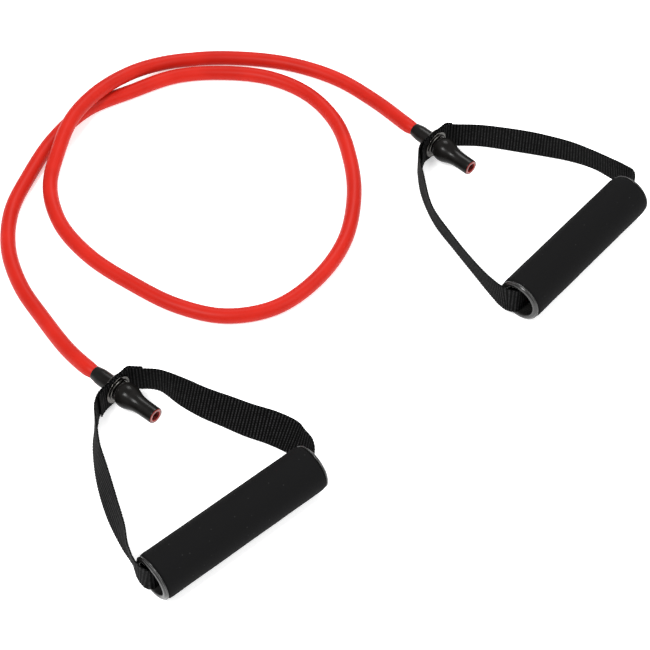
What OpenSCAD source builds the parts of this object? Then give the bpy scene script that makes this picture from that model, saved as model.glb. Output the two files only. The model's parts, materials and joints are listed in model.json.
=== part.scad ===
// Exercise tube with two loop handles, lying on a flat floor.
// Millimetres, +Z up. The origin is on the floor, midway under the two handles.

/* [Tube] */
// Outside diameter of the tube
tube_od = 12; // [11.5:0.1:12.2]
// Bore of the tube
tube_bore = 5; // [4:0.5:6]

/* [Sleeve and stop] */
// Outside diameter of the sleeve where the eyelet slides
sleeve_od = 13; // [12.6:0.1:13.2]
// Wall of the sleeve
sleeve_wall = 0.8; // [0.6:0.1:1]
// Diameter of the ball inside the tube
ball_d = 12; // [10:0.5:12.5]
// Length of the tail, from the eyelet to the cut end
tail_length = 39.5; // [34:0.5:44]

/* [Eyelet] */
// Outside diameter of the eyelet flanges
eyelet_od = 23.5; // [22:0.5:24]
// Bore of the eyelet barrel
eyelet_bore = 13.8; // [13.8:0.1:14.2]
// Thickness of the eyelet washer
washer_t = 0.7; // [0.5:0.1:0.9]

/* [Strap] */
// Width of the webbing
strap_w = 25; // [24:0.5:25]
// Thickness of the webbing
strap_t = 1.5; // [1.2:0.1:1.6]

/* [Grip] */
// Outside diameter of the foam
foam_od = 36; // [34:0.5:38]
// Length of the foam
foam_length = 139; // [136:1:141]
// Outside diameter of the hard core under the foam
core_od = 29.4; // [29:0.1:30.4]
// Outside diameter of the end rings
ring_od = 35; // [33:0.5:35.5]
// Thickness of the end rings
ring_t = 2.6; // [2:0.2:3]

/* [Hidden] */
$fn = 96;

// Each handle: eyelet centre, direction of its axis towards the tail, grip centre, grip direction
LEFT = [[-194, -43], -40, [-105, -161], 40.25];
RIGHT = [[46, 201], -44, [149.9, 87.5], 49.05];

// Heights above the floor
floor_gap = 0.1;
eye_z = strap_w / 2 + floor_gap;
grip_z = foam_od / 2;

// Along the eyelet axis, the eyelet plane is 0, the tube side is negative and the tail positive
mouth_a = -21.5;
ball_a = 11;
bulge_wall = 3.8;
sleeve_r = sleeve_od / 2;
tail_r = sleeve_r - 0.2;
bulge_r = ball_d / 2 + bulge_wall;
tail_flare = bulge_r - tail_r;
mouth_r = sleeve_r - 1;
cut_end_reach = 0.5;
sleeve_line = [
    [mouth_r, mouth_a], [mouth_r + 0.3, mouth_a + 2.5], [sleeve_r, mouth_a + 5.5],
    [sleeve_r, 4.3], [bulge_r - 1.5, 5.7], [bulge_r - 0.4, 8],
    [bulge_r, ball_a], [bulge_r - 0.6, 14.5], [tail_r + 0.46 * tail_flare, 18],
    [tail_r + 0.16 * tail_flare, 22], [tail_r + 0.03 * tail_flare, 26],
    [tail_r, tail_length - cut_end_reach]
];

// Eyelet, clamped over the two layers of webbing with a little play
lap_gap = 0.14;
clamp_play = 0.3;
layer_a = (strap_t + lap_gap) / 2;
flange_face = strap_t + lap_gap / 2 + clamp_play;
eyelet_r = eyelet_od / 2;
barrel_in = eyelet_bore / 2;
barrel_wall = 0.6;
barrel_out = barrel_in + barrel_wall;
strap_hole_d = 2 * barrel_out + 0.4;
lip_base = flange_face + washer_t;
lip_h = 1;

// Grip: ring spigots fit the core, the strap turns inside the ring bore
core_wall = 1;
spigot_od = core_od - 2 * core_wall;
ring_bore = 25.8;
spigot_length = 10;
grip_half = foam_length / 2 + ring_t;
edge_break = 0.6;

// Strap stations beside an eyelet: [distance along the strap, distance along the eyelet axis]
flat_run = [-11.6, -9, -4.5, 0, 4.5, 9, 11.6];
tail_layer = [for (across = flat_run) [across, layer_a]];
tube_layer = [for (across = flat_run) [across, -layer_a]];

// Left strap, from its end on the tail side round through the grip to its end on the tube side
left_start = [[-20, 2.95], [-16.5, 1.6]];
left_leave = [[13, 1.4], [15, 4.1], [17.4, 7.6], [20.6, 11.4]];
left_arm_1 = [
    [-163, -36, 0.1, 3], [-145, -47, 0.6, 21], [-130, -56.2, 1.4, 28], [-113, -64.2, 2, 34],
    [-97, -72.2, 3.4, 41], [-80, -79.4, 4.9, 46], [-67, -87.6, 6, 43], [-59.8, -94.8, 5.5, 27]
];
left_grip_in = [[77.8, 12.4, 5.5, 15], [76, 5.6, 5.5, 5], [72.9, 1.4, 5.5, 0]];
left_grip_out = [[-72.6, 0.8, 5.5, 0], [-74.8, 5.4, 6.4, 0], [-74.5, 13.5, 7, 2], [-70.2, 24.5, 3.6, 5]];
left_arm_2 = [
    [-180.8, -170.6, 0.6, -10], [-190, -147.5, 0.2, -20], [-198.5, -121.5, 0.2, -21],
    [-204.4, -99.5, 0.2, -14], [-206.8, -82, 0.2, -10]
];
left_return = [[-27.5, 6], [-22, 2], [-17, -0.2]];
left_finish = [[13.8, -0.2], [15.8, 2.3], [17.9, 5.2], [20.3, 8.2]];

// Right strap, the same way round
right_start = [[-24.5, 8.6], [-17.5, 3.4]];
right_leave = [[13.6, 1.25], [15.9, 3.5], [19.2, 7.3], [25.3, 13.8]];
right_arm_1 = [
    [86, 208.7, 0.1, 0], [120, 201.8, 0.1, 2], [138, 197, 0.1, -1], [155, 191, 0.5, -5],
    [172, 182, 1.1, -9], [184.6, 172.2, 1.8, -6]
];
right_grip_in = [[85.6, 15.8, 3.6, -2], [83.4, 6.5, 5.2, 0], [76.6, 1.2, 5.5, 0]];
right_grip_out = [[-73.1, 1.6, 5.5, 0], [-75.4, 7, 5.4, 0], [-75, 14, 4, 3], [-70.8, 28, 1.6, 8]];
right_arm_2 = [[70.2, 73.4, 0.1, 12], [56.4, 97.4, 0.1, 12], [42.6, 124, 0.1, 8.5], [35.2, 155, 0.1, -1.5]];
right_return = [[-27.5, 8.2], [-22, 2.9], [-17, 0.1]];
right_finish = [[14.2, -0.4], [16, 1.6], [17.3, 3.2]];

// Route of the tube between the two sleeve mouths
tube_start = 1.2;
mouth_lead = 7;
tube_route = concat(
    [for (d = [tube_start, mouth_lead]) beside_eye(LEFT, 0, mouth_a - d, eye_z - d / 12)],
    [
        [-233, -5, 9], [-254, 26, 6.2], [-274, 58, 6], [-287, 95, 6], [-288.5, 134, 6],
        [-278, 172, 6], [-262, 211, 6], [-237, 245, 6], [-202, 265.5, 6], [-166, 283, 6],
        [-126, 287, 6], [-88, 281, 6], [-56, 262, 6], [-33, 230, 6], [-22, 190, 6],
        [-19, 150, 6], [-27, 103, 6], [-49, 64, 6], [-80, 37, 6], [-117, 29, 6],
        [-154, 39, 6], [-190, 61, 6], [-224, 88, 6], [-249, 121, 6], [-260, 158, 8],
        [-256, 190, 13.5], [-246.5, 224, 17.5], [-228, 252.5, 18.4], [-204, 276, 16],
        [-180, 294, 9.5], [-153, 303, 6], [-110, 304, 6], [-70, 297, 6], [-32, 280, 6],
        [0, 253, 6.6]
    ],
    [for (d = [mouth_lead, tube_start]) beside_eye(RIGHT, 0, mouth_a - d, eye_z - d / 12)]
);
tube_sides = 12;
tube_steps = 2;
strap_steps = 4;

// ---- Places ----

// A point some way along a direction and some way to its left
function beside(centre, direction, along, left, z) = [
    centre.x + along * cos(direction) - left * sin(direction),
    centre.y + along * sin(direction) + left * cos(direction),
    z
];

function beside_eye(handle, across, along, z) = beside(handle[0], handle[1], along, across, z);

// A strap station is [x, y, height of the lower edge, lean]
function eye_stations(handle, rows) = [
    for (r = rows) concat(beside_eye(handle, r[0], r[1], floor_gap), [0])
];
function grip_stations(handle, rows) = [
    for (r = rows) concat(beside(handle[2], handle[3], r[0], r[1], r[2]), [r[3]])
];

function grip_run(handle) = grip_stations(handle, [
    for (along = [66, 52, 0, -52, -66]) [along, 0, grip_z - strap_w / 2, 0]
]);

function left_strap_stations() = concat(
    eye_stations(LEFT, concat(left_start, tail_layer, left_leave)),
    left_arm_1,
    grip_stations(LEFT, left_grip_in),
    grip_run(LEFT),
    grip_stations(LEFT, left_grip_out),
    left_arm_2,
    eye_stations(LEFT, concat(left_return, tube_layer, left_finish))
);

function right_strap_stations() = concat(
    eye_stations(RIGHT, concat(right_start, tail_layer, right_leave)),
    right_arm_1,
    grip_stations(RIGHT, right_grip_in),
    grip_run(RIGHT),
    grip_stations(RIGHT, right_grip_out),
    right_arm_2,
    eye_stations(RIGHT, concat(right_return, tube_layer, right_finish))
);

// ---- Smooth curves through given points ----

function unit(v) = v / norm(v);

// The knots are spaced by the square root of each gap, so that uneven gaps leave no kinks
function between(p0, p1, p2, p3, t) =
    let (a = sqrt(norm(place(p1) - place(p0))),
         b = sqrt(norm(place(p2) - place(p1))),
         c = sqrt(norm(place(p3) - place(p2))),
         out_of_p1 = p2 - p1 + b * ((p1 - p0) / a - (p2 - p0) / (a + b)),
         into_p2 = p2 - p1 + b * ((p3 - p2) / c - (p3 - p1) / (b + c)))
    p1 + out_of_p1 * t
    + (3 * (p2 - p1) - 2 * out_of_p1 - into_p2) * t * t
    + (2 * (p1 - p2) + out_of_p1 + into_p2) * t * t * t;

function smooth(points, steps) =
    let (last = len(points) - 1,
         ends = concat([2 * points[0] - points[1]], points, [2 * points[last] - points[last - 1]]))
    concat(
        [for (i = [1:last], k = [0:steps - 1])
            between(ends[i - 1], ends[i], ends[i + 1], ends[i + 2], k / steps)],
        [points[last]]
    );

function place(s) = [s.x, s.y, s.z];

function heading(path, i) =
    unit(place(path[min(i + 1, len(path) - 1)]) - place(path[max(i - 1, 0)]));

function upward(t) = unit([0, 0, 1] - t * t.z);

// ---- Swept solids, as closed rings of points ----

function side_faces(rings, sides) = [
    for (i = [0:rings - 2], j = [0:sides - 1], half = [0, 1])
        let (a = i * sides + j,
             b = i * sides + (j + 1) % sides,
             c = b + sides,
             d = a + sides)
        half == 0 ? [a, d, c] : [a, c, b]
];

function end_faces(rings, sides) =
    let (far = (rings - 1) * sides)
    concat(
        [for (j = [1:sides - 2]) [0, j, j + 1]],
        [for (j = [1:sides - 2]) [far, far + j + 1, far + j]]
    );

module swept(points, sides) {
    rings = len(points) / sides;
    polyhedron(points, concat(side_faces(rings, sides), end_faces(rings, sides)), convexity = 10);
}

function strap_ring(path, i) =
    let (s = path[i],
         t = heading(path, i),
         up = upward(t),
         lean = s[3],
         wide = cos(lean) * up + sin(lean) * cross(up, t),
         thick = cross(wide, t),
         rise = strap_w / 2 * cos(lean) + strap_t / 2 * abs(sin(lean)),
         middle = place(s) + [0, 0, rise])
    [for (c = [[1, -1], [1, 1], [-1, 1], [-1, -1]])
        middle + c[0] * thick * strap_t / 2 + c[1] * wide * strap_w / 2];

module webbing(stations) {
    path = smooth(stations, strap_steps);
    swept([for (i = [0:len(path) - 1], p = strap_ring(path, i)) p], len(strap_ring(path, 0)));
}

// The tube is pinched where it enters a sleeve
function tube_r(i, rings) =
    let (from_end = min(i, rings - 1 - i))
    from_end == 0 ? mouth_r - sleeve_wall : from_end == 1 ? tube_od / 2 - 0.6 : tube_od / 2;

function tube_ring(path, i) =
    let (t = heading(path, i),
         up = upward(t),
         left = cross(up, t),
         r = tube_r(i, len(path)))
    [for (j = [0:tube_sides - 1])
        let (turn = (j + 0.5) * 360 / tube_sides)
        place(path[i]) + r * (cos(turn) * left + sin(turn) * up)];

// ---- Positions of the handle parts ----

module on_eyelet_axis(handle) {
    translate([handle[0].x, handle[0].y, eye_z])
        rotate([0, 90, handle[1]])
            children();
}

module on_grip_axis(handle) {
    translate([handle[2].x, handle[2].y, grip_z])
        rotate([0, 90, handle[3]])
            children();
}

// ---- Parts ----

module tube() {
    path = smooth(tube_route, tube_steps);
    color("red")
        swept([for (i = [0:len(path) - 1], p = tube_ring(path, i)) p], tube_sides);
}

// Outline of the sleeve, or of the tube inside it
function sleeve_shape(inset) = [for (p = sleeve_line) [p[0] - inset, p[1]]];

module sleeve() {
    outer = sleeve_shape(0);
    inner = sleeve_shape(sleeve_wall);
    backward = [for (i = [len(inner) - 1:-1:0]) inner[i]];
    color("dimgray")
        rotate_extrude()
            polygon(concat(outer, backward));
}

module tube_end() {
    color("red")
        difference() {
            rotate_extrude()
                polygon(concat(
                    [[0, mouth_a]],
                    sleeve_shape(sleeve_wall),
                    [[tail_r - sleeve_wall, tail_length], [0, tail_length]]
                ));
            translate([0, 0, ball_a])
                sphere(d = ball_d);
            translate([0, 0, mouth_a + 6])
                cylinder(d = tube_bore, h = tail_length);
        }
}

module stop_ball() {
    color("gainsboro")
        translate([0, 0, ball_a])
            sphere(d = ball_d);
}

module eyelet() {
    color("silver")
        rotate_extrude()
            polygon([
                [barrel_out, -flange_face], [eyelet_r - 0.3, -flange_face],
                [eyelet_r, -flange_face - 0.4], [eyelet_r - 0.3, -flange_face - 0.9],
                [eyelet_r - 2, -flange_face - 1.25], [barrel_in + 1.1, -flange_face - 1.1],
                [barrel_in + 0.3, -flange_face - 0.7], [barrel_in, -flange_face],
                [barrel_in, lip_base], [barrel_in + 0.3, lip_base + 0.6 * lip_h],
                [barrel_in + 0.9, lip_base + lip_h], [barrel_in + 1.7, lip_base + lip_h],
                [barrel_in + 2.3, lip_base + 0.6 * lip_h], [barrel_in + 2.5, lip_base],
                [barrel_out, lip_base]
            ]);
}

module eyelet_washer() {
    color("silver")
        rotate_extrude()
            polygon([
                [barrel_out, flange_face], [eyelet_r - 0.3, flange_face],
                [eyelet_r, flange_face + washer_t / 2], [eyelet_r - 0.3, lip_base],
                [barrel_out, lip_base]
            ]);
}

module pierced_webbing(stations, handle) {
    color([0.12, 0.12, 0.12])
        difference() {
            webbing(stations);
            on_eyelet_axis(handle)
                cylinder(d = strap_hole_d, h = 2 * flange_face, center = true);
        }
}

module grip_core() {
    color([0.25, 0.25, 0.25])
        difference() {
            cylinder(d = core_od, h = foam_length, center = true);
            cylinder(d = spigot_od, h = foam_length + 1, center = true);
        }
}

module foam_grip() {
    color([0.16, 0.16, 0.16])
        difference() {
            cylinder(d = foam_od, h = foam_length, center = true);
            cylinder(d = core_od, h = foam_length + 1, center = true);
        }
}

// One flanged ring, its open face at the end of the grip and its spigot inside the core
module end_ring() {
    color([0.3, 0.3, 0.3])
        rotate_extrude()
            polygon([
                [ring_bore / 2, edge_break], [ring_bore / 2 + edge_break, 0],
                [ring_od / 2 - edge_break, 0], [ring_od / 2, edge_break],
                [ring_od / 2, ring_t], [spigot_od / 2, ring_t],
                [spigot_od / 2, ring_t + spigot_length], [ring_bore / 2, ring_t + spigot_length]
            ]);
}

module grip_end(handle, far) {
    on_grip_axis(handle)
        rotate([far ? 180 : 0, 0, 0])
            translate([0, 0, -grip_half])
                end_ring();
}

// ---- Left handle ----

module left_sleeve() {
    on_eyelet_axis(LEFT)
        sleeve();
}

module left_tube_end() {
    on_eyelet_axis(LEFT)
        tube_end();
}

module left_stop_ball() {
    on_eyelet_axis(LEFT)
        stop_ball();
}

module left_eyelet() {
    on_eyelet_axis(LEFT)
        eyelet();
}

module left_eyelet_washer() {
    on_eyelet_axis(LEFT)
        eyelet_washer();
}

module left_strap() {
    pierced_webbing(left_strap_stations(), LEFT);
}

module left_grip_core() {
    on_grip_axis(LEFT)
        grip_core();
}

module left_end_ring_1() {
    grip_end(LEFT, false);
}

module left_end_ring_2() {
    grip_end(LEFT, true);
}

module left_foam_grip() {
    on_grip_axis(LEFT)
        foam_grip();
}

// ---- Right handle ----

module right_sleeve() {
    on_eyelet_axis(RIGHT)
        sleeve();
}

module right_tube_end() {
    on_eyelet_axis(RIGHT)
        tube_end();
}

module right_stop_ball() {
    on_eyelet_axis(RIGHT)
        stop_ball();
}

module right_eyelet() {
    on_eyelet_axis(RIGHT)
        eyelet();
}

module right_eyelet_washer() {
    on_eyelet_axis(RIGHT)
        eyelet_washer();
}

module right_strap() {
    pierced_webbing(right_strap_stations(), RIGHT);
}

module right_grip_core() {
    on_grip_axis(RIGHT)
        grip_core();
}

module right_end_ring_1() {
    grip_end(RIGHT, false);
}

module right_end_ring_2() {
    grip_end(RIGHT, true);
}

module right_foam_grip() {
    on_grip_axis(RIGHT)
        foam_grip();
}

// ---- Drawing ----

tube();
left_sleeve();
left_tube_end();
left_stop_ball();
left_eyelet();
left_eyelet_washer();
left_strap();
left_grip_core();
left_end_ring_1();
left_end_ring_2();
left_foam_grip();
right_sleeve();
right_tube_end();
right_stop_ball();
right_eyelet();
right_eyelet_washer();
right_strap();
right_grip_core();
right_end_ring_1();
right_end_ring_2();
right_foam_grip();
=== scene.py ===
import json
from math import cos, pi, radians, sin

import bpy
import numpy as np
from mathutils import Euler, Matrix, Vector


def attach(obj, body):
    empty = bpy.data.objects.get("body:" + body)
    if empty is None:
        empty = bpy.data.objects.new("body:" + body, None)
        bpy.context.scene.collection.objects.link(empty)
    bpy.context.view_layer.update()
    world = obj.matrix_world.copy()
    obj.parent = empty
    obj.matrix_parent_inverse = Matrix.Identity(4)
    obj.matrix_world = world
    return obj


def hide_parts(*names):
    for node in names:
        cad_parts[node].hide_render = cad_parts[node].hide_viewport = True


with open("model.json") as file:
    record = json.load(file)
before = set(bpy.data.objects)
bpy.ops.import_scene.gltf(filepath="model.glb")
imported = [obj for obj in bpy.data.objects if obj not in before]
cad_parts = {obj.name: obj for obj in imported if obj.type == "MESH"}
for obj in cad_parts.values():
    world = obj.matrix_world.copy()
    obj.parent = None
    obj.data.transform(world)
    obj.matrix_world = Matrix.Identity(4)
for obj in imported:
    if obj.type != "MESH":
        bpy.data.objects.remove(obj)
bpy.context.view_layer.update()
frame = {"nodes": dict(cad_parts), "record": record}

# ---- Camera ----
# A long lens looks along +Y and steeply down at the middle of the loop and handles.

look_at = Vector((-0.042, 0.025, 0))
view_drop = radians(52)
view_distance = 1.499
bpy.ops.object.camera_add(
    location=look_at + view_distance * Vector((0, -cos(view_drop), sin(view_drop))),
    rotation=(pi / 2 - view_drop, 0, 0),
)
camera = bpy.context.object
camera.data.lens = 110
camera.data.sensor_width = 36
bpy.context.scene.camera = camera


# ---- Red tube ----
# One dip-moulded latex tube, 12 mm across, lying in a loose loop between the handles.
# Each end is pinched as it goes into its sleeve. It is a curve along the tube's resting route.

def joint(name):
    return next(j for j in frame["record"]["behaviour"]["joints"] if j["name"] == name)


def eyelet_place(side):
    """Centre of the eyelet and the direction of its axis towards the tail."""
    turn = joint(side + "_strap_turn")
    return Vector(turn["pos_m"]), Vector(turn["axis"]).normalized()


def smooth_path(points, steps):
    """A smooth curve through every point, its knots spaced by the square root of each gap."""
    p = np.array(points, float)
    p = np.vstack([2 * p[0] - p[1], p, 2 * p[-1] - p[-2]])
    gaps = np.sqrt(np.linalg.norm(np.diff(p[:, :3], axis=0), axis=1))
    rows = []
    for k in range(1, len(p) - 2):
        p0, p1, p2, p3 = p[k - 1:k + 3]
        a, b, c = gaps[k - 1:k + 2]
        out_of_p1 = p2 - p1 + b * ((p1 - p0) / a - (p2 - p0) / (a + b))
        into_p2 = p2 - p1 + b * ((p3 - p2) / c - (p3 - p1) / (b + c))
        for t in np.arange(steps) / steps:
            rows.append(p1 + out_of_p1 * t + (3 * (p2 - p1) - 2 * out_of_p1 - into_p2) * t**2
                        + (2 * (p1 - p2) + out_of_p1 + into_p2) * t**3)
    return np.array(rows + [p[-2]])


MM = 0.001
TUBE_R = 6 * MM
SLEEVE_MOUTH = -21.5 * MM
MOUTH_LEAD = 7 * MM
MOUTH_DROP = 0.6 * MM

tube_lie = [
    (-233, -5, 9), (-254, 26, 6.2), (-274, 58, 6), (-287, 95, 6), (-288.5, 134, 6),
    (-278, 172, 6), (-262, 211, 6), (-237, 245, 6), (-202, 265.5, 6), (-166, 283, 6),
    (-126, 287, 6), (-88, 281, 6), (-56, 262, 6), (-33, 230, 6), (-22, 190, 6),
    (-19, 150, 6), (-27, 103, 6), (-49, 64, 6), (-80, 37, 6), (-117, 29, 6),
    (-154, 39, 6), (-190, 61, 6), (-224, 88, 6), (-249, 121, 6), (-260, 158, 8),
    (-256, 190, 13.5), (-246.5, 224, 17.5), (-228, 252.5, 18.4), (-204, 276, 16),
    (-180, 294, 9.5), (-153, 303, 6), (-110, 304, 6), (-70, 297, 6), (-32, 280, 6),
    (0, 253, 6.6),
]


def mouth_points(side):
    """The sleeve mouth, and a point a little way straight out of it."""
    centre, axis = eyelet_place(side)
    mouth = centre + SLEEVE_MOUTH * axis
    return [mouth, mouth - MOUTH_LEAD * axis - Vector((0, 0, MOUTH_DROP))]


tube_route = mouth_points("left")
tube_route += [Vector(p) * MM for p in tube_lie]
tube_route += reversed(mouth_points("right"))
tube_path = smooth_path(tube_route, 8)
tube_path[:, 2] = np.maximum(tube_path[:, 2], TUBE_R)
tube_steps_along = np.linalg.norm(np.diff(tube_path, axis=0), axis=1)
tube_along = np.concatenate([[0], np.cumsum(tube_steps_along)])
TUBE_LENGTH = float(tube_along[-1])

PINCH = 0.80
PINCH_REACH = 9 * MM
from_end = np.minimum(tube_along, TUBE_LENGTH - tube_along)
pinched = 1 - (1 - PINCH) * (1 - np.minimum(from_end / PINCH_REACH, 1)) ** 2

tube_curve = bpy.data.curves.new("tube_run", "CURVE")
tube_curve.dimensions = "3D"
tube_curve.bevel_depth = TUBE_R
tube_curve.bevel_resolution = 7
tube_curve.use_fill_caps = True
tube_line = tube_curve.splines.new("POLY")
tube_line.points.add(len(tube_path) - 1)
for point, place, share in zip(tube_line.points, tube_path, pinched):
    point.co = (*place, 1)
    point.radius = share
tube_line.use_smooth = True
tube_run = bpy.data.objects.new("tube_run", tube_curve)
bpy.context.collection.objects.link(tube_run)


def new_material(name, colour, roughness, metallic=0.0):
    """A material with its constant colour, roughness and metal share on the shader."""
    material = bpy.data.materials.new(name)
    material.use_nodes = True
    shader = material.node_tree.nodes["Principled BSDF"]
    shader.inputs["Base Color"].default_value = (*colour, 1)
    shader.inputs["Roughness"].default_value = roughness
    shader.inputs["Metallic"].default_value = metallic
    return material, material.node_tree, shader


def object_noise(tree, scale, detail=2.0):
    """Noise in the piece's own place, for mottling and fine grain."""
    where = tree.nodes.new("ShaderNodeTexCoord")
    noise = tree.nodes.new("ShaderNodeTexNoise")
    noise.inputs["Scale"].default_value = scale
    noise.inputs["Detail"].default_value = detail
    tree.links.new(where.outputs["Object"], noise.inputs["Vector"])
    return noise


def tint(tree, shader, factor, colours, low=0.3, high=0.7):
    """The base colour goes through the colours as the factor goes from low to high."""
    ramp = tree.nodes.new("ShaderNodeValToRGB")
    ramp.color_ramp.elements[0].position = low
    ramp.color_ramp.elements[1].position = high
    ramp.color_ramp.elements[0].color = (*colours[0], 1)
    ramp.color_ramp.elements[1].color = (*colours[1], 1)
    tree.links.new(factor, ramp.inputs["Fac"])
    tree.links.new(ramp.outputs["Color"], shader.inputs["Base Color"])
    return ramp


def vary_roughness(tree, shader, factor, low, high):
    spread = tree.nodes.new("ShaderNodeMapRange")
    spread.inputs["To Min"].default_value = low
    spread.inputs["To Max"].default_value = high
    tree.links.new(factor, spread.inputs["Value"])
    tree.links.new(spread.outputs["Result"], shader.inputs["Roughness"])


def relief(tree, shader, height, depth, strength=1.0):
    """Bump of a given depth in metres, from a height between 0 and 1."""
    bump = tree.nodes.new("ShaderNodeBump")
    bump.inputs["Strength"].default_value = strength
    bump.inputs["Distance"].default_value = depth
    tree.links.new(height, bump.inputs["Height"])
    tree.links.new(bump.outputs["Normal"], shader.inputs["Normal"])
    return bump


def red_latex():
    material, tree, shader = new_material("red_latex", (0.52, 0.012, 0.008), 0.45)
    shader.inputs["Specular IOR Level"].default_value = 0.1
    mottle = object_noise(tree, 35, 3)
    tint(tree, shader, mottle.outputs["Fac"], [(0.39, 0.011, 0.0055), (0.46, 0.015, 0.008)])
    vary_roughness(tree, shader, mottle.outputs["Fac"], 0.36, 0.5)
    grain = object_noise(tree, 1400, 4)
    relief(tree, shader, grain.outputs["Fac"], 0.05 * MM, 0.35)
    return material


latex = red_latex()
tube_run.data.materials.append(latex)
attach(tube_run, "tube_and_sleeves")
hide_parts("tube")


# ---- Sleeves ----
# A dipped black rubber sleeve is drawn over each tube end. It is straight where the eyelet slides,
# swells over the stop ball and narrows to the tail. It is an outline spun round the eyelet axis.

def deselect():
    if bpy.context.object and bpy.context.object.mode != "OBJECT":
        bpy.ops.object.mode_set(mode="OBJECT")
    bpy.ops.object.select_all(action="DESELECT")


def spun(name, outline, turns=64, rounding=0, smooth_angle=40):
    """A closed outline of (radius, height) in millimetres, spun round Z at the origin."""
    deselect()
    bpy.ops.mesh.primitive_plane_add(size=MM)
    piece = bpy.context.object
    piece.name = name
    points = [Vector((r, 0, h)) * MM for r, h in outline]
    bpy.ops.object.mode_set(mode="EDIT")
    bpy.ops.mesh.select_all(action="SELECT")
    bpy.ops.mesh.merge(type="CENTER")
    bpy.ops.transform.translate(value=points[0])
    for here, there in zip(points, points[1:] + points[:1]):
        bpy.ops.mesh.extrude_vertices_move(TRANSFORM_OT_translate={"value": there - here})
    bpy.ops.mesh.select_all(action="SELECT")
    bpy.ops.mesh.remove_doubles(threshold=0.001 * MM)
    bpy.ops.mesh.select_all(action="SELECT")
    bpy.ops.mesh.spin(steps=turns, angle=2 * pi, center=(0, 0, 0), axis=(0, 0, 1))
    bpy.ops.mesh.select_all(action="SELECT")
    bpy.ops.mesh.remove_doubles(threshold=0.001 * MM)
    bpy.ops.mesh.normals_make_consistent(inside=False)
    bpy.ops.object.mode_set(mode="OBJECT")
    if rounding:
        finish_with(piece, "SUBSURF", levels=rounding, render_levels=rounding)
    bpy.ops.object.shade_smooth_by_angle(angle=radians(smooth_angle))
    return piece


def finish_with(piece, kind, **settings):
    """Adds a modifier, sets it and applies it."""
    deselect()
    piece.select_set(True)
    bpy.context.view_layer.objects.active = piece
    modifier = piece.modifiers.new(kind.lower(), kind)
    for key, value in settings.items():
        setattr(modifier, key, value)
    bpy.ops.object.modifier_apply(modifier=modifier.name)


def copy_to(piece, name, centre, axis, flip=False):
    """A copy with its own mesh, its Z turned to the axis, and its place then applied."""
    other = piece.copy()
    other.data = piece.data.copy()
    other.name = name
    bpy.context.collection.objects.link(other)
    heading = np.arctan2(axis[1], axis[0])
    turn = Euler((0, pi / 2, heading)).to_matrix().to_4x4()
    if flip:
        turn = turn @ Matrix.Rotation(pi, 4, "X")
    other.matrix_world = Matrix.Translation(centre) @ turn
    deselect()
    other.select_set(True)
    bpy.context.view_layer.objects.active = other
    bpy.ops.object.transform_apply(location=True, rotation=True, scale=True)
    return other


def declare(piece, body, slot, *nodes):
    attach(piece, body)
    if nodes:
        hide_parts(*nodes)


SLEEVE_WALL = 0.8
TAIL_END = 39.0
sleeve_outer = [
    (5.35, -21.6), (5.5, -21.3), (5.7, -19.5), (6.1, -17.6), (6.45, -16), (6.5, -13), (6.5, -4),
    (6.5, 2.6), (6.7, 4), (7.6, 4.9), (8.7, 6.1), (9.4, 7.8), (9.8, 10), (9.8, 11.8),
    (9.45, 14), (8.6, 16.5), (7.6, 19), (6.85, 21.8), (6.45, 25), (6.3, 28),
    (6.3, TAIL_END - 2), (6.28, TAIL_END - 0.3), (6.15, TAIL_END),
]
sleeve_inner = [(r - SLEEVE_WALL, h) for r, h in reversed(sleeve_outer)]


def black_rubber():
    material, tree, shader = new_material("black_rubber", (0.006, 0.0056, 0.0052), 0.3)
    shader.inputs["Specular IOR Level"].default_value = 0.11
    mottle = object_noise(tree, 160, 3)
    tint(tree, shader, mottle.outputs["Fac"], [(0.005, 0.0046, 0.0042), (0.009, 0.0083, 0.0077)])
    vary_roughness(tree, shader, mottle.outputs["Fac"], 0.2, 0.3)
    grain = object_noise(tree, 900, 3)
    relief(tree, shader, grain.outputs["Fac"], 0.05 * MM, 0.3)
    return material


sleeve_pattern = spun("sleeve_pattern", sleeve_outer + sleeve_inner, rounding=1)
sleeve_pattern.data.materials.append(black_rubber())
for side in ("left", "right"):
    sleeve = copy_to(sleeve_pattern, side + "_sleeve_skin", *eyelet_place(side))
    declare(sleeve, "tube_and_sleeves", "sleeve_rubber", side + "_sleeve")
bpy.data.objects.remove(sleeve_pattern)


# ---- Tube ends and stop balls ----
# The tube goes on through each sleeve to its cut end. The cut face is mottled, and the bore opens
# into it in a shallow funnel; bore and funnel are painted dark red as painted shade. A pale plastic
# bead inside stops the tube from pulling through, and its shape stays as it is.

def cut_latex():
    material, tree, shader = new_material("cut_latex", (0.42, 0.17, 0.16), 0.4)
    mottle = object_noise(tree, 1300, 4)
    dark_and_pale = [(0.05, 0.005, 0.004), (0.36, 0.11, 0.095)]
    tint(tree, shader, mottle.outputs["Fac"], dark_and_pale, 0.42, 0.62)
    relief(tree, shader, mottle.outputs["Fac"], 0.15 * MM, 0.6)
    return material


# The bore and the funnel round it are painted dark red as painted shade for the deep hollow.
def bore_shade_latex():
    material, tree, shader = new_material("bore_shade_latex", (0.11, 0.006, 0.004), 0.7)
    shader.inputs["Specular IOR Level"].default_value = 0.1
    mottle = object_noise(tree, 900, 3)
    bore_shade_reds = [(0.025, 0.0015, 0.001), (0.13, 0.009, 0.007)]
    tint(tree, shader, mottle.outputs["Fac"], bore_shade_reds, 0.4, 0.6)
    return material


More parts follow.
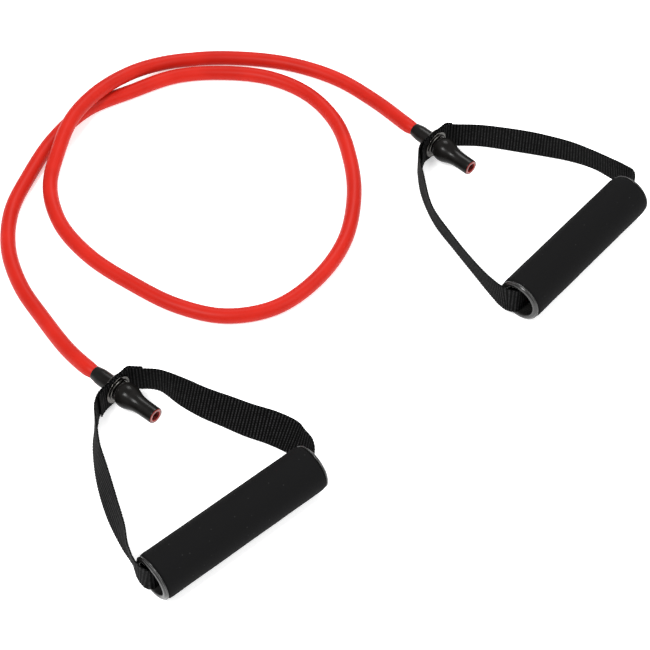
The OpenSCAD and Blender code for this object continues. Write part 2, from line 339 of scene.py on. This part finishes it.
TUBE_CUT = 39.5
BORE_SHADE_R = 4.0
tube_inner_wall = [
    (2.5, TUBE_CUT - 2), (2.5, TUBE_CUT - 3), (2.5, 20), (2.5, 17.2), (3.6, 15.9),
    (5.2, 14.1), (6.05, 11), (5.2, 7.9), (3.6, 6.1), (2.5, 5), (2.5, -14), (0.6, -15.4),
    (0.6, -21.4),
]
tube_outer_wall = [(r - 0.03, h) for r, h in sleeve_outer[1:-2]]
tube_outer_wall = [(r - SLEEVE_WALL, h) for r, h in tube_outer_wall]
tube_lip = [(5.5, TAIL_END - 0.5), (5.95, TAIL_END + 0.1), (6.0, TUBE_CUT - 0.25),
            (5.8, TUBE_CUT), (5.4, TUBE_CUT), (4.1, TUBE_CUT - 0.1), (3.5, TUBE_CUT - 0.5),
            (2.9, TUBE_CUT - 1.1), (2.6, TUBE_CUT - 1.5)]
tube_end_pattern = spun(
    "tube_end_pattern", tube_outer_wall + tube_lip + tube_inner_wall, rounding=1
)
tube_end_pattern.data.materials.append(latex)
tube_end_pattern.data.materials.append(cut_latex())
tube_end_pattern.data.materials.append(bore_shade_latex())
for face in tube_end_pattern.data.polygons:
    radius = Vector(face.center.xy).length
    # Faces inside this radius take the bore material, painted shade in the hollow.
    if radius < BORE_SHADE_R * MM:
        face.material_index = 2
    elif face.center.z > (TUBE_CUT - 0.2) * MM:
        face.material_index = 1


def pale_plastic():
    material, tree, shader = new_material("pale_plastic", (0.62, 0.62, 0.6), 0.3)
    mottle = object_noise(tree, 300, 2)
    tint(tree, shader, mottle.outputs["Fac"], [(0.58, 0.58, 0.55), (0.66, 0.66, 0.64)])
    return material


bead_plastic = pale_plastic()
for side in ("left", "right"):
    tube_end = copy_to(tube_end_pattern, side + "_tube_cut_end", *eyelet_place(side))
    declare(tube_end, "tube_and_sleeves", "tube_latex", side + "_tube_end")
    ball = frame["nodes"][side + "_stop_ball"]
    ball.data.materials.clear()
    ball.data.materials.append(bead_plastic)
bpy.data.objects.remove(tube_end_pattern)


# ---- Eyelets ----
# A nickel-plated eyelet is pressed through the two layers of webbing: a smooth domed flange on the
# tube side, and a barrel rolled over a loose washer on the tail side. Both are spun outlines.

LAP = 1.87
WASHER = 0.7
BARREL_IN = 6.9
BARREL_OUT = 7.5
FLANGE_R = 11.75
eyelet_outline = [
    (BARREL_OUT, -LAP), (9.5, -LAP), (FLANGE_R - 0.35, -LAP), (FLANGE_R - 0.05, -LAP - 0.15),
    (FLANGE_R, -LAP - 0.4), (FLANGE_R - 0.2, -LAP - 0.75), (FLANGE_R - 1, -LAP - 1.05),
    (FLANGE_R - 2.2, -LAP - 1.22), (BARREL_IN + 1.3, -LAP - 1.15), (BARREL_IN + 0.45, -LAP - 0.8),
    (BARREL_IN + 0.05, -LAP - 0.1), (BARREL_IN, 0), (BARREL_IN, LAP + WASHER - 0.1),
    (BARREL_IN + 0.15, LAP + WASHER + 0.4), (BARREL_IN + 0.6, LAP + WASHER + 0.85),
    (BARREL_IN + 1.25, LAP + WASHER + 1), (BARREL_IN + 1.9, LAP + WASHER + 0.85),
    (BARREL_IN + 2.35, LAP + WASHER + 0.4), (BARREL_IN + 2.45, LAP + WASHER + 0.02),
    (BARREL_OUT + 0.8, LAP + WASHER + 0.02), (BARREL_OUT, LAP + WASHER - 0.1), (BARREL_OUT, 0),
]
washer_outline = [
    (BARREL_OUT + 0.02, LAP), (9.5, LAP), (FLANGE_R - 0.3, LAP), (FLANGE_R, LAP + 0.12),
    (FLANGE_R, LAP + 0.45), (FLANGE_R - 0.35, LAP + 0.66), (FLANGE_R - 1.2, LAP + WASHER),
    (9.4, LAP + WASHER), (BARREL_OUT + 0.02, LAP + WASHER),
]


def nickel_plate():
    material, tree, shader = new_material("nickel_plate", (0.26, 0.25, 0.23), 0.2, 1.0)
    mottle = object_noise(tree, 400, 4)
    tint(tree, shader, mottle.outputs["Fac"], [(0.05, 0.048, 0.045), (0.16, 0.153, 0.143)])
    vary_roughness(tree, shader, mottle.outputs["Fac"], 0.1, 0.26)
    relief(tree, shader, mottle.outputs["Fac"], 0.03 * MM, 0.4)
    return material


plate = nickel_plate()
for outline, name, node in (
    (eyelet_outline, "_eyelet_barrel", "_eyelet"),
    (washer_outline, "_eyelet_ring", "_eyelet_washer"),
):
    pattern = spun(name[1:] + "_pattern", outline, turns=72, rounding=1, smooth_angle=50)
    pattern.data.materials.append(plate)
    for side in ("left", "right"):
        turned = copy_to(pattern, side + name, *eyelet_place(side))
        declare(turned, side + "_eyelet", "eyelet_metal", side + node)
    bpy.data.objects.remove(pattern)


# ---- Webbing straps ----
# Black polypropylene webbing, 25 mm wide, woven in cross ribs 2.45 mm apart with fourteen beads of
# yarn to a rib, every other rib half a bead over. The ends are lapped and pierced for the eyelet,
# and the middle runs through the grip. Each is a woven surface laid along the strap's resting path.

STRAP_W = 25.0
STRAP_T = 1.5
RIB = 2.45
BEADS = 14
LAYER = 0.82
FLOOR_GAP = 0.1
GRIP_EDGE = 5.5
flat_run = [-11.6, -9, -4.5, 0, 4.5, 9, 11.6]


def eye_rows(side, rows):
    """Stations beside an eyelet, from (across, along) in millimetres."""
    centre, axis = eyelet_place(side)
    c, t = np.array(centre.xy) / MM, np.array(axis.xy)
    across = np.array([-t[1], t[0]])
    return [(*(c + across * u + t * a), FLOOR_GAP, 0) for u, a in rows]


def grip_place(side):
    spin = joint(side + "_grip_spin")
    return Vector(spin["pos_m"]), Vector(spin["axis"]).normalized()


def grip_rows(side, rows):
    """Stations beside a grip, from (along, left, lower edge, lean)."""
    centre, axis = grip_place(side)
    c, t = np.array(centre.xy) / MM, np.array(axis.xy)
    left = np.array([-t[1], t[0]])
    return [(*(c + t * a + left * p), edge, lean) for a, p, edge, lean in rows]


def lap_rows(side, offset):
    return eye_rows(side, [(u, offset) for u in flat_run])


def through_grip(side):
    return grip_rows(side, [(a, 0, GRIP_EDGE, 0) for a in (66, 52, 0, -52, -66)])


left_stations = (
    eye_rows("left", [(-20, 2.95), (-16.5, 1.6)])
    + lap_rows("left", LAYER)
    + eye_rows("left", [(13, 1.4), (15, 4.1), (17.4, 7.6), (20.6, 11.4)])
    + [(-163, -36, 0.1, 3), (-145, -47, 0.6, 21), (-130, -56.2, 1.4, 28), (-113, -64.2, 2, 34),
       (-97, -72.2, 3.4, 41), (-80, -79.4, 4.9, 46), (-67, -87.6, 6, 43), (-59.8, -94.8, 5.5, 27)]
    + grip_rows("left", [(77.8, 12.4, 5.5, 15), (76, 5.6, 5.5, 5), (72.9, 1.4, 5.5, 0)])
    + through_grip("left")
    + grip_rows("left", [(-72.6, 0.8, 5.5, 0), (-74.8, 5.4, 6.4, 0), (-74.5, 13.5, 7, 2),
                         (-70.2, 24.5, 3.6, 5)])
    + [(-180.8, -170.6, 0.6, -10), (-190, -147.5, 0.2, -20), (-198.5, -121.5, 0.2, -21),
       (-204.4, -99.5, 0.2, -14), (-206.8, -82, 0.2, -10)]
    + eye_rows("left", [(-27.5, 6), (-22, 2), (-17, -0.2)])
    + lap_rows("left", -LAYER)
    + eye_rows("left", [(13.8, -0.2), (15.8, 2.3), (17.9, 5.2), (20.3, 8.2)])
)
right_stations = (
    eye_rows("right", [(-24.5, 8.6), (-17.5, 3.4)])
    + lap_rows("right", LAYER)
    + eye_rows("right", [(13.6, 1.25), (15.9, 3.5), (19.2, 7.3), (25.3, 13.8)])
    + [(86, 208.7, 0.1, 0), (120, 201.8, 0.1, 2), (138, 197, 0.1, -1), (155, 191, 0.5, -5),
       (172, 182, 1.1, -9), (184.6, 172.2, 1.8, -6)]
    + grip_rows("right", [(85.6, 15.8, 3.6, -2), (83.4, 6.5, 5.2, 0), (76.6, 1.2, 5.5, 0)])
    + through_grip("right")
    + grip_rows("right", [(-73.1, 1.6, 5.5, 0), (-75.4, 7, 5.4, 0), (-75, 14, 4, 3),
                          (-70.8, 28, 1.6, 8)])
    + [(70.2, 73.4, 0.1, 12), (56.4, 97.4, 0.1, 12), (42.6, 124, 0.1, 8.5), (35.2, 155, 0.1, -1.5)]
    + eye_rows("right", [(-27.5, 8.2), (-22, 2.9), (-17, 0.1)])
    + lap_rows("right", -LAYER)
    + eye_rows("right", [(14.2, -0.4), (16, 1.6), (17.3, 3.2)])
)


def unit_rows(v):
    return v / np.linalg.norm(v, axis=1)[:, None]


def strap_lie(stations):
    """Length along, middle, width direction and thickness direction of the resting strap."""
    fine = smooth_path(stations, 16)
    along = np.concatenate([[0], np.cumsum(np.linalg.norm(np.diff(fine[:, :2], axis=0), axis=1))])
    keep = np.concatenate([[True], np.diff(along) > 1e-6])
    fine, along = fine[keep], along[keep]
    lean = np.radians(fine[:, 3])
    rise = STRAP_W / 2 * np.cos(lean) + STRAP_T / 2 * np.abs(np.sin(lean))
    middle = np.column_stack([fine[:, 0], fine[:, 1], fine[:, 2] + rise])
    along = np.concatenate([[0], np.cumsum(np.linalg.norm(np.diff(middle, axis=0), axis=1))])
    travel = unit_rows(np.gradient(middle, axis=0))
    up = np.array([0, 0, 1.0]) - travel * travel[:, 2:3]
    up = unit_rows(up)
    wide = np.cos(lean)[:, None] * up + np.sin(lean)[:, None] * np.cross(up, travel)
    return along, middle, wide, unit_rows(np.cross(wide, travel))


ROWS_PER_RIB = 5
COLUMNS = 52
HIDDEN_STEP = 4.0
HIDDEN_REACH = 60.0
RELIEF = 0.4
EDGE_ROUND = 0.9


def yarn_height(along, across):
    """How proud the yarn stands, 0 in the gaps and 1 on a bead."""
    rib = along / RIB
    bead = across / STRAP_W * BEADS + 0.5 * (np.floor(rib) % 2)
    rib_hump = np.abs(np.sin(pi * rib)) ** 0.8
    bead_hump = np.abs(np.sin(pi * bead)) ** 0.7
    return rib_hump * (0.55 + 0.45 * bead_hump)


def woven_strap(name, stations, grip_centre):
    along, middle, wide, thick = strap_lie(stations)
    length = along[-1]
    fine_rows = np.arange(0, length, RIB / ROWS_PER_RIB)
    reach = np.column_stack([np.interp(fine_rows, along, middle[:, k]) for k in range(3)])
    inside = np.linalg.norm(reach - np.array(grip_centre) / MM, axis=1) < HIDDEN_REACH
    coarse = np.arange(len(fine_rows)) % int(HIDDEN_STEP / RIB * ROWS_PER_RIB) == 0
    rows = np.append(fine_rows[~inside | coarse], length)

    def at(values):
        return np.column_stack([np.interp(rows, along, values[:, k]) for k in range(3)])

    mid, w_dir, t_dir = at(middle), unit_rows(at(wide)), unit_rows(at(thick))
    across = np.linspace(-STRAP_W / 2, STRAP_W / 2, COLUMNS + 1)
    s, w = np.meshgrid(rows, across, indexing="ij")
    edge = np.clip((np.abs(w) - (STRAP_W / 2 - EDGE_ROUND)) / EDGE_ROUND, 0, 1)
    shape = 0.25 + 0.75 * np.sqrt(1 - edge**2)
    points, heights = [], []
    for face, shift in ((1, 0.0), (-1, 0.5 * RIB)):
        proud = yarn_height(s + shift, w)
        half = (STRAP_T / 2 - RELIEF * (1 - proud)) * shape
        at_face = mid[:, None, :] + w_dir[:, None, :] * w[..., None]
        at_face = at_face + face * half[..., None] * t_dir[:, None, :]
        points.append(at_face)
        heights.append(proud)
    loop = np.concatenate([points[0], points[1][:, ::-1]], axis=1)
    loop_height = np.concatenate([heights[0], heights[1][:, ::-1]], axis=1)
    loop_w = np.concatenate([w, w[:, ::-1]], axis=1)
    n_rows, n_loop = loop.shape[:2]
    index = np.arange(n_rows * n_loop).reshape(n_rows, n_loop)
    a, b = index[:-1], np.roll(index, -1, axis=1)[:-1]
    c, d = np.roll(index, -1, axis=1)[1:], index[1:]
    walls = np.stack([a, b, c, d], axis=-1).reshape(-1, 4)
    half_loop = n_loop // 2
    ends = []
    for j in range(half_loop - 1):
        k = n_loop - 1 - j
        ends.append((index[0, j], index[0, k], index[0, k - 1], index[0, j + 1]))
        ends.append((index[-1, j], index[-1, j + 1], index[-1, k - 1], index[-1, k]))
    faces = np.vstack([walls, ends])
    mesh = bpy.data.meshes.new(name)
    mesh.from_pydata((loop.reshape(-1, 3) * MM).tolist(), [], faces.tolist())
    # The yarn height is kept on the mesh; the webbing material paints the gaps dark from it as
    # painted shade and the bead tops lighter as painted highlight.
    proud_of = mesh.attributes.new("yarn", "FLOAT", "POINT")
    proud_of.data.foreach_set("value", loop_height.ravel())
    lay = np.column_stack([np.repeat(rows, n_loop), loop_w.ravel()]) * MM
    uv = mesh.uv_layers.new(name="along_across")
    corner_vertex = np.empty(len(mesh.loops), int)
    mesh.loops.foreach_get("vertex_index", corner_vertex)
    uv.data.foreach_set("uv", lay[corner_vertex].ravel())
    strap = bpy.data.objects.new(name, mesh)
    bpy.context.collection.objects.link(strap)
    deselect()
    strap.select_set(True)
    bpy.context.view_layer.objects.active = strap
    bpy.ops.object.mode_set(mode="EDIT")
    bpy.ops.mesh.select_all(action="SELECT")
    bpy.ops.mesh.normals_make_consistent(inside=False)
    bpy.ops.object.mode_set(mode="OBJECT")
    bpy.ops.object.shade_smooth()
    return strap, float(length)


HOLE_R = 7.7
HOLE_DEPTH = 6.0


def pierce(strap, side):
    """Cuts the eyelet's hole through both layers."""
    centre, axis = eyelet_place(side)
    deselect()
    bpy.ops.mesh.primitive_cylinder_add(vertices=48, radius=HOLE_R * MM, depth=HOLE_DEPTH * MM)
    cutter = bpy.context.object
    cutter.matrix_world = (Matrix.Translation(centre)
                           @ Euler((0, pi / 2, np.arctan2(axis[1], axis[0]))).to_matrix().to_4x4())
    finish_with(strap, "BOOLEAN", object=cutter, operation="DIFFERENCE", solver="EXACT")
    bpy.data.objects.remove(cutter)


def black_webbing():
    material, tree, shader = new_material("black_webbing", (0.006, 0.006, 0.0062), 0.6)
    shader.inputs["Specular IOR Level"].default_value = 0.03
    proud = tree.nodes.new("ShaderNodeAttribute")
    proud.attribute_name = "yarn"
    # The colour follows the yarn height: the gaps are painted near black as painted shade and the
    # bead tops lighter as painted highlight.
    gap_shade_and_bead_highlight = [(0.0002, 0.0002, 0.0002), (0.027, 0.027, 0.0275)]
    ramp = tint(tree, shader, proud.outputs["Fac"], gap_shade_and_bead_highlight, 0.6, 1.0)
    where = tree.nodes.new("ShaderNodeTexCoord")
    threads = tree.nodes.new("ShaderNodeTexWave")
    threads.inputs["Scale"].default_value = 900
    threads.inputs["Distortion"].default_value = 1.5
    threads.bands_direction = "Y"
    tree.links.new(where.outputs["UV"], threads.inputs["Vector"])
    relief(tree, shader, threads.outputs["Fac"], 0.08 * MM, 0.5)
    # Yarn takes the dye unevenly, so the colour is dimmed and lifted in small patches.
    uneven = object_noise(tree, 420, 3)
    dark_or_bright = tree.nodes.new("ShaderNodeMapRange")
    dark_or_bright.inputs["From Min"].default_value = 0.35
    dark_or_bright.inputs["From Max"].default_value = 0.65
    dark_or_bright.inputs["To Min"].default_value = 0.55
    dark_or_bright.inputs["To Max"].default_value = 1.25
    tree.links.new(uneven.outputs["Fac"], dark_or_bright.inputs["Value"])
    shaded = tree.nodes.new("ShaderNodeVectorMath")
    shaded.operation = "SCALE"
    tree.links.new(ramp.outputs["Color"], shaded.inputs[0])
    tree.links.new(dark_or_bright.outputs["Result"], shaded.inputs["Scale"])
    tree.links.new(shaded.outputs["Vector"], shader.inputs["Base Color"])
    return material


webbing = black_webbing()
for side, stations in (("left", left_stations), ("right", right_stations)):
    strap, strap_length = woven_strap(side + "_webbing", stations, grip_place(side)[0])
    pierce(strap, side)
    strap.data.materials.clear()
    strap.data.materials.append(webbing)
    declare(strap, side + "_strap", "webbing", side + "_strap")


# ---- Grip cores ----
# A plain black moulded pipe carries the foam. Only its bore shows, deep inside the end rings.

def core_plastic():
    material, tree, shader = new_material("core_plastic", (0.016, 0.016, 0.016), 0.5)
    mottle = object_noise(tree, 250, 3)
    tint(tree, shader, mottle.outputs["Fac"], [(0.012, 0.012, 0.012), (0.02, 0.02, 0.02)])
    vary_roughness(tree, shader, mottle.outputs["Fac"], 0.42, 0.6)
    relief(tree, shader, mottle.outputs["Fac"], 0.1 * MM, 0.3)
    return material


core_finish = core_plastic()
for side in ("left", "right"):
    core = frame["nodes"][side + "_grip_core"]
    core.data.materials.clear()
    core.data.materials.append(core_finish)


# ---- End rings ----
# A dark grey moulded ring is pushed into each end of the core. Its flange has a thin rim against
# the foam, a shallow step, and a rounded bead round the mouth that the strap runs over.

RING_FACE = 72.1
RING_T = 2.6
ring_outline = [
    (12.9, 12.6), (12.9, 6), (12.9, 1.6), (13.1, 0.7), (13.7, 0.15), (14.5, 0), (15.5, 0.08),
    (16.2, 0.4), (16.55, 0.95), (16.65, 1.25), (17.2, 1.3), (17.45, 1.5), (17.5, 1.9),
    (17.45, RING_T - 0.25), (17.2, RING_T), (15.5, RING_T), (13.8, RING_T), (13.7, 2.9),
    (13.7, 6), (13.7, 12.3), (13.5, 12.6),
]


def ring_plastic():
    material, tree, shader = new_material("ring_plastic", (0.011, 0.0108, 0.0105), 0.26)
    mottle = object_noise(tree, 220, 3)
    tint(tree, shader, mottle.outputs["Fac"], [(0.009, 0.0088, 0.0086), (0.014, 0.0138, 0.0135)])
    vary_roughness(tree, shader, mottle.outputs["Fac"], 0.2, 0.32)
    grain = object_noise(tree, 1500, 2)
    relief(tree, shader, grain.outputs["Fac"], 0.04 * MM, 0.4)
    return material


ring_pattern = spun("ring_pattern", ring_outline, turns=72, rounding=1, smooth_angle=50)
ring_pattern.data.materials.append(ring_plastic())
for side in ("left", "right"):
    centre, axis = grip_place(side)
    for number, way in ((1, 1), (2, -1)):
        mouth = centre - way * RING_FACE * MM * axis
        ring = copy_to(ring_pattern, f"{side}_end_bead_{number}", mouth, axis, flip=way < 0)
        declare(ring, side + "_grip", "ring_plastic", f"{side}_end_ring_{number}")
bpy.data.objects.remove(ring_pattern)


# ---- Foam grips ----
# A sleeve of fine-celled black foam rubber is blown over the core, its ends cut square and rounded
# off by use. The skin is matt, with shallow dents and a few pale specks where cells are open.

FOAM_R = 18.0
FOAM_IN = 14.75
FOAM_HALF = 69.5
foam_outer = [
    (FOAM_IN, -FOAM_HALF), (15.4, -FOAM_HALF), (16.4, -FOAM_HALF + 0.1), (17.3, -FOAM_HALF + 0.7),
    (17.85, -FOAM_HALF + 1.7), (FOAM_R, -FOAM_HALF + 3),
]
foam_body = [(FOAM_R, h) for h in np.arange(-64, 65, 4.0)]
foam_outline = foam_outer + foam_body + [(r, -h) for r, h in reversed(foam_outer)]


def black_foam():
    material, tree, shader = new_material("black_foam", (0.005, 0.005, 0.0052), 0.8)
    shader.inputs["Specular IOR Level"].default_value = 0.06
    where = tree.nodes.new("ShaderNodeTexCoord")
    specks = tree.nodes.new("ShaderNodeTexVoronoi")
    specks.inputs["Scale"].default_value = 160
    tree.links.new(where.outputs["Object"], specks.inputs["Vector"])
    speck_and_skin = [(0.02, 0.02, 0.02), (0.005, 0.005, 0.0052)]
    tint(tree, shader, specks.outputs["Distance"], speck_and_skin, 0.04, 0.09)
    cells = tree.nodes.new("ShaderNodeTexVoronoi")
    cells.inputs["Scale"].default_value = 1600
    tree.links.new(where.outputs["Object"], cells.inputs["Vector"])
    relief(tree, shader, cells.outputs["Distance"], 0.12 * MM, 0.6)
    return material


foam_pattern = spun("foam_pattern", foam_outline, turns=72, rounding=1, smooth_angle=60)
dents = bpy.data.textures.new("foam_dents", "CLOUDS")
dents.noise_scale = 0.02
finish_with(foam_pattern, "DISPLACE", texture=dents, strength=0.25 * MM, mid_level=0.55)
foam_pattern.data.materials.append(black_foam())
for side in ("left", "right"):
    foam = copy_to(foam_pattern, side + "_foam", *grip_place(side))
    declare(foam, side + "_grip", "grip_foam", side + "_foam_grip")
bpy.data.objects.remove(foam_pattern)


# ---- Floor and light ----
# A matt white floor that runs out of view and glows a little, like a light table, a bright even
# sky, and three soft lamps.

FLOOR_GLOW = 0.45

deselect()
bpy.ops.mesh.primitive_plane_add(size=30, location=(0, 0, 0))
floor = bpy.context.object
floor.name = "floor"
floor_paint, _, floor_shader = new_material("floor_paint", (0.93, 0.93, 0.93), 0.9)
floor_shader.inputs["Specular IOR Level"].default_value = 0.1
floor_shader.inputs["Emission Color"].default_value = (1, 1, 1, 1)
floor_shader.inputs["Emission Strength"].default_value = FLOOR_GLOW
floor.data.materials.append(floor_paint)

sky = bpy.data.worlds.new("even_sky")
sky.use_nodes = True
sky.node_tree.nodes["Background"].inputs["Color"].default_value = (1, 1, 1, 1)
sky.node_tree.nodes["Background"].inputs["Strength"].default_value = 0.55
bpy.context.scene.world = sky
bpy.context.scene.view_settings.view_transform = "Standard"


def soft_lamp(name, place, size, power):
    bpy.ops.object.light_add(type="AREA", location=place)
    lamp = bpy.context.object
    lamp.name = name
    lamp.data.size = size
    lamp.data.energy = power
    lamp.rotation_euler = (look_at - Vector(place)).to_track_quat("-Z", "Y").to_euler()


soft_lamp("key_lamp", (-0.9, -0.8, 1.8), 0.6, 36)
soft_lamp("fill_lamp", (1.3, -0.5, 1.5), 1.2, 20)
soft_lamp("back_lamp", (0.2, 1.4, 1.6), 0.8, 20)
